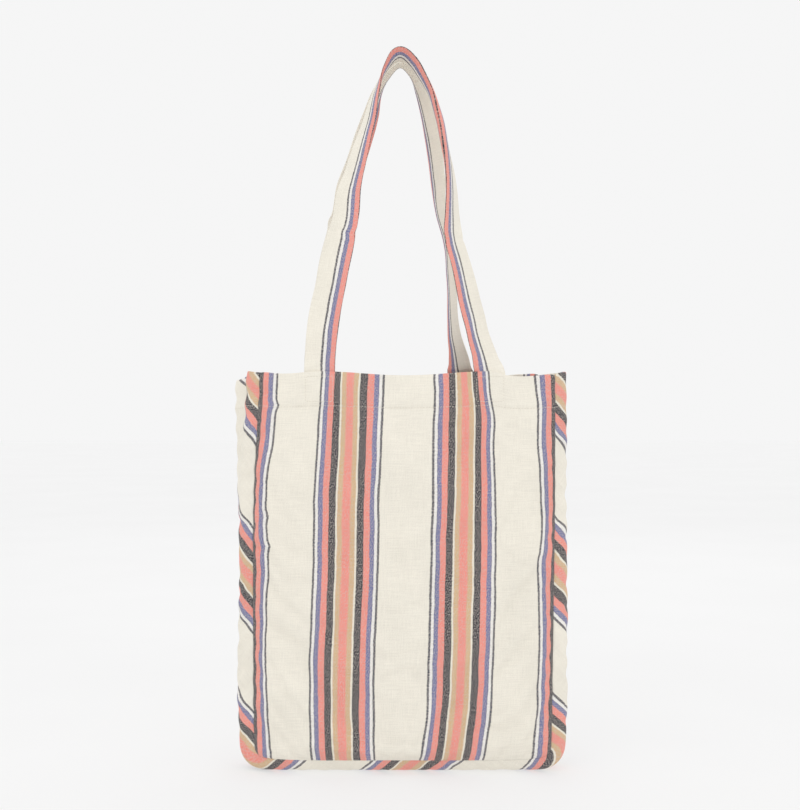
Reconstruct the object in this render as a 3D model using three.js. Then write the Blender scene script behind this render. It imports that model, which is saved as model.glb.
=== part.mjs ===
// A flat-bottomed canvas tote bag: a front and a back panel joined by a gusset that runs down one
// side, under the base and up the other side, a hem turned in round the mouth, and two shoulder
// straps that come out from inside the hem and lean together at the top.
//
// Millimetres. +X is the bag's right side seen from the front, +Y its back, +Z up.
// The origin is the middle of the base, on the surface that the bag stands on.

import * as THREE from "three";

// ---- Driving dimensions ----

const panelWidth = 304; // seam to seam
const panelTop = 404; // the edge of the mouth
const bagDepth = 74; // outer face of the front panel to outer face of the back panel
const gussetBulge = 15; // how far the gusset stands out past the panels' seams
const cornerRadius = 10; // lower corners of the panels, at the seam
const cloth = 1.6; // one layer
const gap = 0.3; // between layers that touch

const hemDepth = 36;
const hemStitchUp = 3; // hem stitching above the hem's lower edge
const allowanceWidth = 8;
const allowanceThickness = 2.6; // panel and gusset edges bound together
const threadWidth = 0.8;
const threadThickness = 0.6;
const seamThreadInset = 3; // seam stitching, in from the seam

const strapWidth = 33;
const strapThickness = 3;
const strapEdgeRound = 0.9;
const strapEndLength = 32; // the part sewn inside the hem
const boxStitchWidth = 27;
const boxStitchHeight = 25;
const frontStrapPlaces = { left: -82.5, right: 88 };
const backStrapPlaces = { left: -87.5, right: 64 };

const cornerSegments = 8;
const profileSegments = 6;
const strapSteps = 84;

// ---- Sizes that follow from them ----

const halfWidth = panelWidth / 2;
const halfDepth = bagDepth / 2;
const seamBottom = gussetBulge;
const cornerX = halfWidth - cornerRadius;
const cornerZ = seamBottom + cornerRadius;
const hemBottom = panelTop - hemDepth;
const hemOffset = cloth + gap; // hem layer behind the panel's outer face
const strapOffset = 2 * (cloth + gap); // strap end behind it
const strapCentreY = halfDepth - strapOffset - strapThickness / 2;
const strapFreeZ = panelTop + 1;

// The free part of each strap as it hangs from a hook: x, y, z of the middle of the strap, and
// the direction, in degrees round Z from +X, of its seamed edge, which starts on the inside of
// the loop, turns outwards to the front or the back at the top, and comes back to the inside.
const frontStrapRoute = [
  [frontStrapPlaces.left, -strapCentreY, strapFreeZ, 0],
  [-82.3, -31.2, 419, -3],
  [-80.4, -30.7, 443, -6],
  [-77, -30.2, 467, -8],
  [-72, -29.5, 491, -11],
  [-67.5, -28.6, 515, -15],
  [-62.5, -27.7, 537, -20],
  [-57, -26.6, 560, -32],
  [-53.5, -25.3, 588, -40],
  [-47, -23.8, 612, -49],
  [-40, -22, 637, -55],
  [-33.3, -20.7, 661, -63],
  [-27.2, -19.5, 687, -74],
  [-17.5, -19, 710, -82],
  [-1.5, -19, 723.5, -90],
  [9.8, -19, 715, -91],
  [18, -19, 704, -92],
  [29, -19.2, 686, -94],
  [38, -19.6, 662, -97],
  [43, -20, 638, -99],
  [47.9, -21, 613.5, -107],
  [50.4, -22, 589, -113],
  [51, -23.5, 564.5, -119],
  [52.5, -25, 540, -129],
  [59.1, -26, 515.5, -131],
  [64.9, -26.6, 491.5, -137],
  [70.6, -26.8, 467, -139],
  [76.7, -27.3, 443, -141],
  [83.6, -29.5, 419, -152],
  [frontStrapPlaces.right, -strapCentreY, strapFreeZ, -180],
];
const backStrapRoute = [
  [backStrapPlaces.left, strapCentreY, strapFreeZ, 0],
  [-87, 31, 421, 5],
  [-84.4, 30.5, 446, 8],
  [-80.7, 30, 471, 9],
  [-75, 29.4, 497, 12],
  [-70.3, 28.5, 522, 15],
  [-64.3, 27.4, 547, 22],
  [-58.7, 26.2, 573, 32],
  [-55.5, 25, 598, 40],
  [-48.5, 23.2, 623, 52],
  [-40.5, 21.4, 649, 56],
  [-32, 20, 674, 63],
  [-24.5, 19.2, 697, 73],
  [-15.5, 19, 713, 82],
  [-1.5, 19, 724.5, 90],
  [9.5, 19, 715, 100],
  [17.5, 19.1, 699, 114],
  [25, 19.3, 674, 122],
  [30.2, 19.6, 649, 125],
  [33.8, 19.8, 623, 124],
  [36.1, 20, 598, 120],
  [39.5, 20, 573, 114],
  [46.5, 20.5, 547, 110],
  [50.5, 21, 510, 108],
  [52.2, 22, 471, 107],
  [54.5, 23.5, 446, 113],
  [59.5, 26, 421, 129],
  [backStrapPlaces.right, strapCentreY, strapFreeZ, 180],
];

// ---- Materials ----

function fabric(color, roughness = 0.9) {
  return new THREE.MeshStandardMaterial({ color, roughness, metalness: 0 });
}

const canvasColor = 0xf0eade;
const strapColor = 0xe9a49a;
const threadColor = 0xf4efe2;
const hemColor = 0xe6dfce;

// ---- Geometry helpers ----

// A closed skin over rings of points, with flat caps at both ends. capOutline is the ring as
// points in a plane, which says how to triangulate the caps.
function loft(rings, capOutline) {
  const perRing = capOutline.length;
  const positions = rings.flat().flatMap((point) => [point.x, point.y, point.z]);
  const faces = [];
  for (let ring = 0; ring + 1 < rings.length; ring += 1) {
    for (let side = 0; side < perRing; side += 1) {
      const next = (side + 1) % perRing;
      const a = ring * perRing + side;
      const b = ring * perRing + next;
      faces.push([a, b, b + perRing], [a, b + perRing, a + perRing]);
    }
  }
  const lastRing = (rings.length - 1) * perRing;
  for (const [a, b, c] of capFaces(capOutline)) {
    faces.push([c, b, a], [lastRing + a, lastRing + b, lastRing + c]);
  }
  const geometry = new THREE.BufferGeometry();
  geometry.setAttribute("position", new THREE.Float32BufferAttribute(positions, 3));
  const inward = signedVolume(positions, faces) < 0;
  geometry.setIndex(faces.flatMap((face) => (inward ? [...face].reverse() : face)));
  geometry.computeVertexNormals();
  return geometry;
}

// The triangles that fill an outline, each wound the way the outline is.
function capFaces(outline) {
  const winding = Math.sign(THREE.ShapeUtils.area(outline));
  return THREE.ShapeUtils.triangulateShape(outline, []).map((face) => {
    const area = THREE.ShapeUtils.area(face.map((index) => outline[index]));
    return Math.sign(area) === winding ? face : [...face].reverse();
  });
}

function signedVolume(positions, faces) {
  const corner = (index) => new THREE.Vector3().fromArray(positions, 3 * index);
  let volume = 0;
  for (const [a, b, c] of faces) {
    volume += corner(a).dot(corner(b).cross(corner(c))) / 6;
  }
  return volume;
}

// A flat piece standing in the XZ plane, from its drawn outline, with its front face at frontY.
function standingSlab(shape, thickness, frontY) {
  const geometry = new THREE.ExtrudeGeometry(shape, {
    depth: thickness,
    bevelEnabled: false,
    curveSegments: cornerSegments,
  });
  geometry.rotateX(Math.PI / 2);
  geometry.translate(0, frontY + thickness, 0);
  return geometry;
}

// The panel's outline drawn inset from the seam, from its top edge round the lower corners.
function panelOutline(inset, top) {
  const side = halfWidth - inset;
  const radius = cornerRadius - inset;
  const shape = new THREE.Shape();
  shape.moveTo(-side, top);
  shape.lineTo(-side, cornerZ);
  shape.absarc(-cornerX, cornerZ, radius, Math.PI, 1.5 * Math.PI, false);
  shape.absarc(cornerX, cornerZ, radius, 1.5 * Math.PI, 2 * Math.PI, false);
  shape.lineTo(side, top);
  return shape;
}

// A U-shaped band that follows the seam, between two insets.
function seamBandOutline(outerInset, innerInset, top) {
  const outer = panelOutline(outerInset, top);
  const innerPoints = panelOutline(innerInset, top).getPoints(cornerSegments).reverse();
  for (const point of innerPoints) {
    outer.lineTo(point.x, point.y);
  }
  return outer;
}

function rectangle(centreX, centreZ, width, height, pathType = THREE.Shape) {
  const path = new pathType();
  path.moveTo(centreX - width / 2, centreZ - height / 2);
  path.lineTo(centreX + width / 2, centreZ - height / 2);
  path.lineTo(centreX + width / 2, centreZ + height / 2);
  path.lineTo(centreX - width / 2, centreZ + height / 2);
  path.closePath();
  return path;
}

// The gusset's section as [y, outward] points: a channel with rounded flanges that end at the
// seams. offset moves its outer face inwards from the bag's surface.
function channelSection(offset, thickness) {
  const flangeRadius = gussetBulge - gap;
  const centreY = halfDepth - flangeRadius;
  const skin = (radius) => {
    const points = [];
    for (const side of [-1, 1]) {
      for (let step = 0; step <= profileSegments; step += 1) {
        const along = side < 0 ? step : profileSegments - step;
        const angle = (along / profileSegments) * (Math.PI / 2);
        const y = side * (centreY + radius * Math.cos(angle));
        points.push(new THREE.Vector2(y, gap + radius * Math.sin(angle)));
      }
    }
    return points;
  };
  const outer = skin(flangeRadius - offset);
  const inner = skin(flangeRadius - offset - thickness);
  return [...outer, ...inner.reverse()];
}

// The section placed at one point of the seam's path, facing outwards at the given angle.
function channelRing(section, seamX, seamZ, angle) {
  return section.map(
    (point) =>
      new THREE.Vector3(
        seamX + point.y * Math.cos(angle),
        point.x,
        seamZ + point.y * Math.sin(angle),
      ),
  );
}

function sideChannel(side, offset, thickness, bottom, top) {
  const section = channelSection(offset, thickness);
  const outwards = side < 0 ? Math.PI : 0;
  const rings = [bottom, top].map((z) => channelRing(section, side * halfWidth, z, outwards));
  return loft(rings, section);
}

function baseChannel(offset, thickness) {
  const section = channelSection(offset, thickness);
  const rings = [];
  for (const side of [-1, 1]) {
    const startAngle = side < 0 ? Math.PI : 1.5 * Math.PI;
    for (let step = 0; step <= cornerSegments; step += 1) {
      const angle = startAngle + (step / cornerSegments) * (Math.PI / 2);
      const seamX = side * cornerX + cornerRadius * Math.cos(angle);
      const seamZ = cornerZ + cornerRadius * Math.sin(angle);
      rings.push(channelRing(section, seamX, seamZ, angle));
    }
  }
  return loft(rings, section);
}

// The strap's section: flat, with its long edges rounded off.
function strapSection() {
  const halfW = strapWidth / 2;
  const halfT = strapThickness / 2;
  return [
    [-halfW + strapEdgeRound, -halfT],
    [halfW - strapEdgeRound, -halfT],
    [halfW, -halfT + strapEdgeRound],
    [halfW, halfT - strapEdgeRound],
    [halfW - strapEdgeRound, halfT],
    [-halfW + strapEdgeRound, halfT],
    [-halfW, halfT - strapEdgeRound],
    [-halfW, -halfT + strapEdgeRound],
  ].map(([across, through]) => new THREE.Vector2(across, through));
}

// A flat strap swept along a route of [x, y, z, seam direction] points.
function sweptStrap(route) {
  const middle = new THREE.CatmullRomCurve3(
    route.map(([x, y, z]) => new THREE.Vector3(x, y, z)),
    false,
    "centripetal",
  );
  const turn = new THREE.CatmullRomCurve3(
    route.map(([, , , degrees], index) => new THREE.Vector3(index, degrees, 0)),
    false,
    "centripetal",
  );
  const section = strapSection();
  const rings = [];
  for (let step = 0; step <= strapSteps; step += 1) {
    const along = step / strapSteps;
    const centre = middle.getPoint(along);
    const isEnd = step === 0 || step === strapSteps;
    const tangent = isEnd ? new THREE.Vector3(0, 0, step === 0 ? 1 : -1) : middle.getTangent(along);
    const angle = THREE.MathUtils.degToRad(turn.getPoint(along).y);
    const across = new THREE.Vector3(Math.cos(angle), Math.sin(angle), 0);
    across.addScaledVector(tangent, -across.dot(tangent)).normalize();
    const through = tangent.clone().cross(across);
    rings.push(
      section.map((point) =>
        centre.clone().addScaledVector(across, point.x).addScaledVector(through, point.y),
      ),
    );
  }
  return loft(rings, section);
}

// ---- The pieces ----

const bag = new THREE.Group();

function add(parent, name, geometry, color) {
  const mesh = new THREE.Mesh(geometry, fabric(color));
  mesh.name = name;
  parent.add(mesh);
  return mesh;
}

// The front face of a layer that lies inset from the bag's outer face, on the front or the back.
function layerFrontY(face, inset, thickness) {
  return face < 0 ? -halfDepth + inset : halfDepth - inset - thickness;
}

function addFace(name, face, strapPlaces, strapRoute) {
  const shell = new THREE.Group();
  bag.add(shell);

  const panelY = layerFrontY(face, 0, cloth);
  add(shell, `${name}_panel`, standingSlab(panelOutline(0, panelTop), cloth, panelY), canvasColor);

  const hemWidth = panelWidth - 2 * gap;
  const hemShape = rectangle(0, hemBottom + hemDepth / 2, hemWidth, hemDepth);
  const hemY = layerFrontY(face, hemOffset, cloth);
  add(shell, `${name}_hem`, standingSlab(hemShape, cloth, hemY), hemColor);

  const stitchY = layerFrontY(face, -gap - threadThickness, threadThickness);
  const hemStitch = rectangle(0, hemBottom + hemStitchUp, hemWidth, threadWidth);
  add(shell, `${name}_hem_stitch`, standingSlab(hemStitch, threadThickness, stitchY), threadColor);

  const allowanceTop = hemBottom - 2 * gap;
  const allowanceShape = seamBandOutline(gap, allowanceWidth, allowanceTop);
  const allowanceY = layerFrontY(face, hemOffset, allowanceThickness);
  const allowanceSlab = standingSlab(allowanceShape, allowanceThickness, allowanceY);
  add(shell, `${name}_seam_allowance`, allowanceSlab, hemColor);

  const threadInset = hemOffset + allowanceThickness + gap;
  const threadShape = seamBandOutline(seamThreadInset, seamThreadInset + threadWidth, allowanceTop);
  const threadY = layerFrontY(face, threadInset, threadThickness);
  add(shell, `${name}_seam_thread`, standingSlab(threadShape, threadThickness, threadY), threadColor);

  for (const [side, place] of Object.entries(strapPlaces)) {
    addStrapEnd(shell, `${name}_${side}`, face, place);
    addBoxStitch(shell, `${name}_${side}`, stitchY, place);
  }
  add(bag, `${name}_handle`, sweptStrap(strapRoute), strapColor);
}

function addStrapEnd(shell, name, face, place) {
  const topZ = strapFreeZ - gap;
  const shape = rectangle(place, topZ - strapEndLength / 2, strapWidth, strapEndLength);
  const frontY = layerFrontY(face, strapOffset, strapThickness);
  add(shell, `${name}_handle_end`, standingSlab(shape, strapThickness, frontY), strapColor);
}

// A rectangle of stitching through the hem, over the strap's sewn end.
function addBoxStitch(shell, name, stitchY, place) {
  const centreZ = hemBottom + hemDepth / 2 + hemStitchUp / 2;
  const shape = rectangle(place, centreZ, boxStitchWidth, boxStitchHeight);
  const hole = rectangle(
    place,
    centreZ,
    boxStitchWidth - 2 * threadWidth,
    boxStitchHeight - 2 * threadWidth,
    THREE.Path,
  );
  shape.holes.push(hole);
  add(shell, `${name}_box_stitch`, standingSlab(shape, threadThickness, stitchY), threadColor);
}

function addGussetSide(name, side) {
  const bottom = cornerZ + gap;
  add(bag, `${name}_gusset`, sideChannel(side, 0, cloth, bottom, panelTop), canvasColor);
  add(bag, `${name}_hem`, sideChannel(side, hemOffset, cloth, hemBottom, panelTop), hemColor);
  const stitchZ = hemBottom + hemStitchUp;
  const stitch = sideChannel(
    side,
    -gap - threadThickness,
    threadThickness,
    stitchZ - threadWidth / 2,
    stitchZ + threadWidth / 2,
  );
  add(bag, `${name}_hem_stitch`, stitch, threadColor);
}

addFace("front", -1, frontStrapPlaces, frontStrapRoute);
addFace("back", 1, backStrapPlaces, backStrapRoute);
addGussetSide("left", -1);
addGussetSide("right", 1);
add(bag, "base_gusset", baseChannel(0, cloth), canvasColor);

export default bag;
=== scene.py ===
"""Striped canvas tote bag, standing open with its two handles brought together above it.

The cloth shell is laid out in millimetres from the frame's own boxes, settled by a cloth
simulation, and then cut into the pieces that the bag is sewn from.
"""
import math

import bmesh
import bpy
import numpy as np
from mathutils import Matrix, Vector, noise
from mathutils.bvhtree import BVHTree


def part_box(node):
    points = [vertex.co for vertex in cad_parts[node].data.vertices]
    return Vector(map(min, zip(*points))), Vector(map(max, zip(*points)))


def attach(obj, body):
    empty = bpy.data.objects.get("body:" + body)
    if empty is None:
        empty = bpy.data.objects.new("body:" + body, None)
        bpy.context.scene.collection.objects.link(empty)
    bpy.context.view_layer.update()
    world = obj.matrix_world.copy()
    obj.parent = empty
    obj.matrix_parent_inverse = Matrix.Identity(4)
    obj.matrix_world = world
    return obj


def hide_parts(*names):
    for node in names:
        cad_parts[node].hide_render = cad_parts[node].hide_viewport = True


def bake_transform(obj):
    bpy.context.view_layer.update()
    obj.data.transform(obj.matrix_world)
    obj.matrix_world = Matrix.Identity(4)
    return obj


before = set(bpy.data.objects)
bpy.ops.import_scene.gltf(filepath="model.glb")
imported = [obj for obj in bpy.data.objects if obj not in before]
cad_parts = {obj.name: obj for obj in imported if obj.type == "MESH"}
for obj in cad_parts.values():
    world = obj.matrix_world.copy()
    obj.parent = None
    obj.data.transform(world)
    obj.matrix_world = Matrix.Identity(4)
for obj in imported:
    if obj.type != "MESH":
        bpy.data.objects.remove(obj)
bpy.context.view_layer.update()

MM = 0.001

# ---- Sizes in millimetres, from the frame ----


def node_box(name):
    """Lowest and highest corners of a frame node, in millimetres."""
    low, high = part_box(name)
    return np.array(low) / MM, np.array(high) / MM


PANEL_LOW, PANEL_HIGH = node_box("front_panel")
HEM_LOW, _ = node_box("front_hem")

SEAM_HALF = PANEL_HIGH[0]
SEAM_BASE = PANEL_LOW[2]
MOUTH = PANEL_HIGH[2]
HEM_DEPTH = MOUTH - HEM_LOW[2]
PANEL_PLANE = -PANEL_LOW[1]

# The panel rolls back over its last stretch to the seam, which lies in a groove.
FACE_DEPTH = PANEL_PLANE + 2.5
ROLL_LENGTH = 18.0
ROLL_ANGLE = math.radians(55)
ROLL_RADIUS = ROLL_LENGTH / ROLL_ANGLE
ROLL_RUN = ROLL_RADIUS * math.sin(ROLL_ANGLE)
ROLL_RISE = ROLL_RADIUS * (1 - math.cos(ROLL_ANGLE))
SEAM_DEPTH = FACE_DEPTH - ROLL_RISE
SEAM_CORNER = 10.0

CLOTH = 1.1
HEM_FOLD = 1.25  # radius of the fold at the mouth
CELL = 4.0
FINE_CELL = 2.2
FINE_REACH = 28.0  # how far from a seam the fine cells go
HEM_CELL = 2.6

# ---- The woven pattern ----

REPEAT = 117.0
BAND_CENTRE = REPEAT / 2
CUT_HALF_WIDTH = 163.5
BIAS = math.radians(47.7)


# ---- Small helpers ----


def smooth(t):
    """0 to 1 with level ends."""
    t = np.clip(t, 0.0, 1.0)
    return t * t * (3 - 2 * t)


def through(x, places, values):
    """A smooth curve through given values at rising places, level past both ends."""
    places = np.asarray(places, float)
    values = np.asarray(values, float)
    slopes = np.gradient(values, places, axis=0)
    x = np.clip(x, places[0], places[-1])
    k = np.clip(np.searchsorted(places, x, side="right") - 1, 0, len(places) - 2)
    gap = places[k + 1] - places[k]
    t = (x - places[k]) / gap
    shape = (...,) + (None,) * (values.ndim - 1)
    t, gap = t[shape], gap[shape]
    a, b = values[k], values[k + 1]
    m, n = slopes[k] * gap, slopes[k + 1] * gap
    return (
        (2 * t**3 - 3 * t**2 + 1) * a
        + (t**3 - 2 * t**2 + t) * m
        + (3 * t**2 - 2 * t**3) * b
        + (t**3 - t**2) * n
    )


def cloud(points, size, seed):
    """Soft noise from -1 to 1 at points in millimetres, with blobs of about the given size."""
    shift = Vector((seed * 7.3, seed * 3.1, seed * 5.7))
    return np.array([noise.noise(Vector(p) / size + shift) for p in points])


def unit(vectors):
    """The vectors scaled to length one."""
    length = np.linalg.norm(vectors, axis=-1, keepdims=True)
    return vectors / np.maximum(length, 1e-9)


def new_object(name, points, faces, cloth=None):
    """A mesh object from points in millimetres, with the woven pattern's place at each point."""
    mesh = bpy.data.meshes.new(name)
    mesh.from_pydata((np.asarray(points) * MM).tolist(), [], [list(map(int, f)) for f in faces])
    mesh.update()
    obj = bpy.data.objects.new(name, mesh)
    bpy.context.scene.collection.objects.link(obj)
    if cloth is not None:
        values = np.zeros((len(points), 3))
        values[:, : np.shape(cloth)[1]] = np.asarray(cloth) * MM
        attribute = mesh.attributes.new("cloth", "FLOAT_VECTOR", "POINT")
        attribute.data.foreach_set("vector", values.astype(np.float32).ravel())
    mesh.polygons.foreach_set("use_smooth", [True] * len(mesh.polygons))
    return obj


def apply_modifiers(obj):
    """Bakes the object's modifiers into its mesh."""
    graph = bpy.context.evaluated_depsgraph_get()
    mesh = bpy.data.meshes.new_from_object(
        obj.evaluated_get(graph), preserve_all_data_layers=True, depsgraph=graph
    )
    obj.modifiers.clear()
    old = obj.data
    obj.data = mesh
    mesh.name = obj.name
    bpy.data.meshes.remove(old)
    mesh.polygons.foreach_set("use_smooth", [True] * len(mesh.polygons))


def grid_faces(index):
    """Quads of a grid of point numbers, row after row."""
    a, b = index[:-1, :-1], index[:-1, 1:]
    c, d = index[1:, 1:], index[1:, :-1]
    return np.stack([a, b, c, d], axis=-1).reshape(-1, 4)


def ring_quads(start, rings, size):
    """Quads between neighbouring rings of points, each ring closed on itself."""
    quads = []
    for ring in range(rings - 1):
        for k in range(size):
            a = start + ring * size + k
            b = start + ring * size + (k + 1) % size
            quads.append([a, b, b + size, a + size])
    return quads


def add_smoothing(obj):
    """One level of subdivision, not yet applied."""
    smoothing = obj.modifiers.new("smoothing", "SUBSURF")
    smoothing.levels = 1
    smoothing.render_levels = 1


# ---- Camera ----


CAMERA_PLACE = (-0.002, -1.337, 0.3715)
CAMERA_LENS = 57.8


def add_camera():
    """Looks level and straight at the bag's front, from a little over a metre away."""
    data = bpy.data.cameras.new("camera")
    data.lens = CAMERA_LENS
    data.sensor_width = 36.0
    data.clip_start = 0.05
    data.clip_end = 60.0
    camera = bpy.data.objects.new("camera", data)
    camera.location = CAMERA_PLACE
    camera.rotation_euler = (math.radians(90), 0, 0)
    bpy.context.scene.collection.objects.link(camera)
    bpy.context.scene.camera = camera


add_camera()


# ---- The shell of cloth ----

# How far the seams lean from straight, up the bag: height, then each seam's shift in X.
SEAM_HEIGHTS = [15, 60, 130, 200, 276, 306, 336, 364, 404]
FRONT_LEFT_LEAN = [1.0, 0.5, 0.5, 0.0, 0.0, 1.5, 4.5, 7.5, 9.5]
FRONT_RIGHT_LEAN = [1.0, 1.5, 1.5, 1.5, 3.0, 2.5, 2.0, 2.0, 1.5]
BACK_LEFT_LEAN = [0.5, -0.5, 0.5, -0.5, -3.0, -5.5, -8.0, -9.5, -10.5]
BACK_RIGHT_LEAN = [0.0, 0.5, 0.5, 1.0, 0.0, -2.0, -4.0, -6.0, -7.0]

# Where the weave's lines lie across the front: height, then the X of the left side band's
# inner line, the two band centres and the right side band's inner line.
WEAVE_HEIGHTS = [15, 60, 116, 176, 216, 230, 276, 306, 336, 381, 404]
WEAVE_PLACES = [
    (-133.0, -59.5, 50.0, 132.5),
    (-135.0, -60.0, 56.0, 135.5),
    (-137.3, -59.6, 58.4, 137.3),
    (-135.2, -57.5, 60.0, 136.8),
    (-133.5, -56.0, 61.0, 135.8),
    (-133.9, -55.8, 61.1, 138.2),
    (-135.6, -55.4, 61.3, 138.6),
    (-133.8, -54.0, 61.0, 137.0),
    (-128.5, -52.5, 61.0, 135.4),
    (-125.0, -50.5, 61.0, 134.5),
    (-124.0, -49.5, 61.5, 131.0),
]
# Small tucks caught in the left seam: height, reach up and down, and how far the lines step in.
LEFT_TUCKS = [(371, 4.0, 2.0), (261, 5.0, 2.2), (231, 5.0, 2.6)]
BAND_HALF = 32.9
SEEN_BAND_HALF = 32.0
MIDDLE_HALF = 10.7
SEEN_MIDDLE_HALF = 10.4
# How far the handles' pull draws the two bands' lines and inner edges sideways, by height.
DRAW_HEIGHTS = [240, 310, 336, 361, 371, 386, 398, 404]
BAND_DRAWS = [
    [(0, 0, 0, 0), (0, 0, -0.6, 0), (0, 0, -1.2, 0), (0.2, 0, -2.0, 0)]
    + [(0.6, 0, -2.4, 0), (1.2, -0.4, -2.4, 0), (1.7, -0.6, -2.4, 0), (1.7, -0.6, -2.4, 0)],
    [(0, 0, 0, 0), (2, 2.5, 1, -1), (2, 3, 1.3, -1.8), (3, 3.5, 1.8, -0.9)]
    + [(3.5, 3.5, 1.6, -3), (4, 3.5, -0.3, -5.8), (3, 2.8, -1.7, -7), (3, 2.5, -2.2, -7.5)],
]

LEAN_REACH = 70.0


def roll(flat):
    """Inset and rise of the panel at a flat distance from its seam."""
    angle = ROLL_ANGLE * (1 - np.clip(flat / ROLL_LENGTH, 0, 1))
    inset = ROLL_RADIUS * (math.sin(ROLL_ANGLE) - np.sin(angle)) + np.maximum(flat - ROLL_LENGTH, 0)
    return inset, (np.cos(angle) - math.cos(ROLL_ANGLE)) / (1 - math.cos(ROLL_ANGLE))


def graded_steps(length, both):
    """Places from 0 to length, closer together near 0, and near length too or at the hem."""
    fine = np.arange(0, FINE_REACH, FINE_CELL)
    if both:
        middle = np.linspace(fine[-1], length - fine[-1], round((length - 2 * fine[-1]) / CELL) + 1)
        return np.concatenate([fine[:-1], middle, (length - fine[:-1])[::-1]])
    hem = length - HEM_DEPTH - 8.0
    middle = np.linspace(fine[-1], hem, round((hem - fine[-1]) / CELL) + 1)
    top = np.linspace(hem, length, round((length - hem) / HEM_CELL) + 1)
    return np.concatenate([fine[:-1], middle[:-1], top])


FLAT_WIDTH = 2 * (SEAM_HALF - ROLL_RUN + ROLL_LENGTH)
FLAT_HEIGHT = MOUTH - SEAM_BASE - ROLL_RUN + ROLL_LENGTH
COLUMNS = graded_steps(FLAT_WIDTH, True)
ROWS = graded_steps(FLAT_HEIGHT, False)


def pucker(along, seed):
    """Uneven gathers along a seam, from -1 to 1."""
    wave = np.sin(along / 23.0 * 2 * math.pi + 1.3 * np.sin(along / 61.0 + seed))
    swell = 0.55 + 0.45 * np.sin(along / 47.0 + 2.1 * seed)
    return wave * swell


def level_place(across, up):
    """Level place of a panel's points, before its seams lean: X, Z, the insets and the two rises."""
    from_left, rise_left = roll(across)
    from_right, rise_right = roll(FLAT_WIDTH - across)
    base_inset, base_rise = roll(up)
    near_left = across < FLAT_WIDTH / 2
    side_inset = np.where(near_left, from_left, from_right)
    side_rise = np.where(near_left, rise_left, rise_right)

    # The two lower corners are rounded by bending the square corner into an arc.
    q = np.clip(1 - side_inset / SEAM_CORNER, 0, 1)
    p = np.clip(1 - base_inset / SEAM_CORNER, 0, 1)
    side_inset = side_inset + SEAM_CORNER * q * (1 - np.sqrt(1 - p**2 / 2))
    base_inset = base_inset + SEAM_CORNER * p * (1 - np.sqrt(1 - q**2 / 2))
    x = np.where(near_left, -SEAM_HALF + side_inset, SEAM_HALF - side_inset)
    return x, SEAM_BASE + base_inset, side_inset, base_inset, side_rise * base_rise


# How far the gathers of the side seams and the base seam step the cloth, and how far in they reach.
SIDE_GATHER = 0.9
SIDE_GRIP = 9.0
BASE_GATHER = 0.7
BASE_GRIP = 8.0


def panel_layout(left_lean, right_lean, seed):
    """Points of a panel as seen from the front: across, up, X, Z and distance out, with its seams' lean."""
    across, up = np.meshgrid(COLUMNS, ROWS)
    x, z, side_inset, base_inset, rise = level_place(across, up)
    near_left = across < FLAT_WIDTH / 2
    level = x.copy()
    from_left, from_right = x + SEAM_HALF, SEAM_HALF - x
    left = through(z, SEAM_HEIGHTS, left_lean) * smooth(1 - from_left / LEAN_REACH)
    right = through(z, SEAM_HEIGHTS, right_lean) * smooth(1 - from_right / LEAN_REACH)
    x = x + left + right

    # Gathers along the side seams and, more softly, along the base seam.
    grip = np.exp(-side_inset / SIDE_GRIP)
    low_grip = np.exp(-base_inset / BASE_GRIP)
    side = np.where(near_left, -1.0, 1.0)
    gather = pucker(z + np.where(near_left, 0.0, 37.0), seed)
    x = x + side * SIDE_GATHER * grip * gather * smooth((z - 30) / 30)
    low_gather = pucker(level + 11.0, seed + 1.7)
    z = z - BASE_GATHER * low_grip * low_gather * smooth((SEAM_HALF - 25 - np.abs(level)) / 20)

    out = SEAM_DEPTH + ROLL_RISE * rise
    edge = np.minimum(side_inset, base_inset)
    ripple = np.exp(-(((edge - 7.0) / 7.0) ** 2))
    by_side = side_inset < base_inset
    out = out + ripple * (0.9 * gather * by_side + 0.8 * low_gather * ~by_side)
    return across, up, x, z, out, rise


SWELL = 4.2


def crown(x, z):
    """How far the panel swells past its face, fullest low in the middle."""
    wide = np.clip(1 - (x / (SEAM_HALF + 2)) ** 2, 0, 1)
    high = np.clip((z - SEAM_BASE) / (MOUTH - SEAM_BASE), 0, 1)
    return SWELL * wide**0.7 * np.sin(math.pi * high**0.7) ** 0.8


def folds(x, z, creases):
    """Height of a set of creases, each from one place to another with a width and a height."""
    total = np.zeros_like(x)
    for (x1, z1), (x2, z2), width, height in creases:
        run = np.array([x2 - x1, z2 - z1])
        length = np.hypot(*run)
        along = ((x - x1) * run[0] + (z - z1) * run[1]) / length
        aside = np.abs((x - x1) * run[1] - (z - z1) * run[0]) / length
        ends = smooth((along + 6) / 14) * smooth((length + 6 - along) / 14)
        total += height * np.exp(-((aside / width) ** 2)) * ends
    return total


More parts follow.
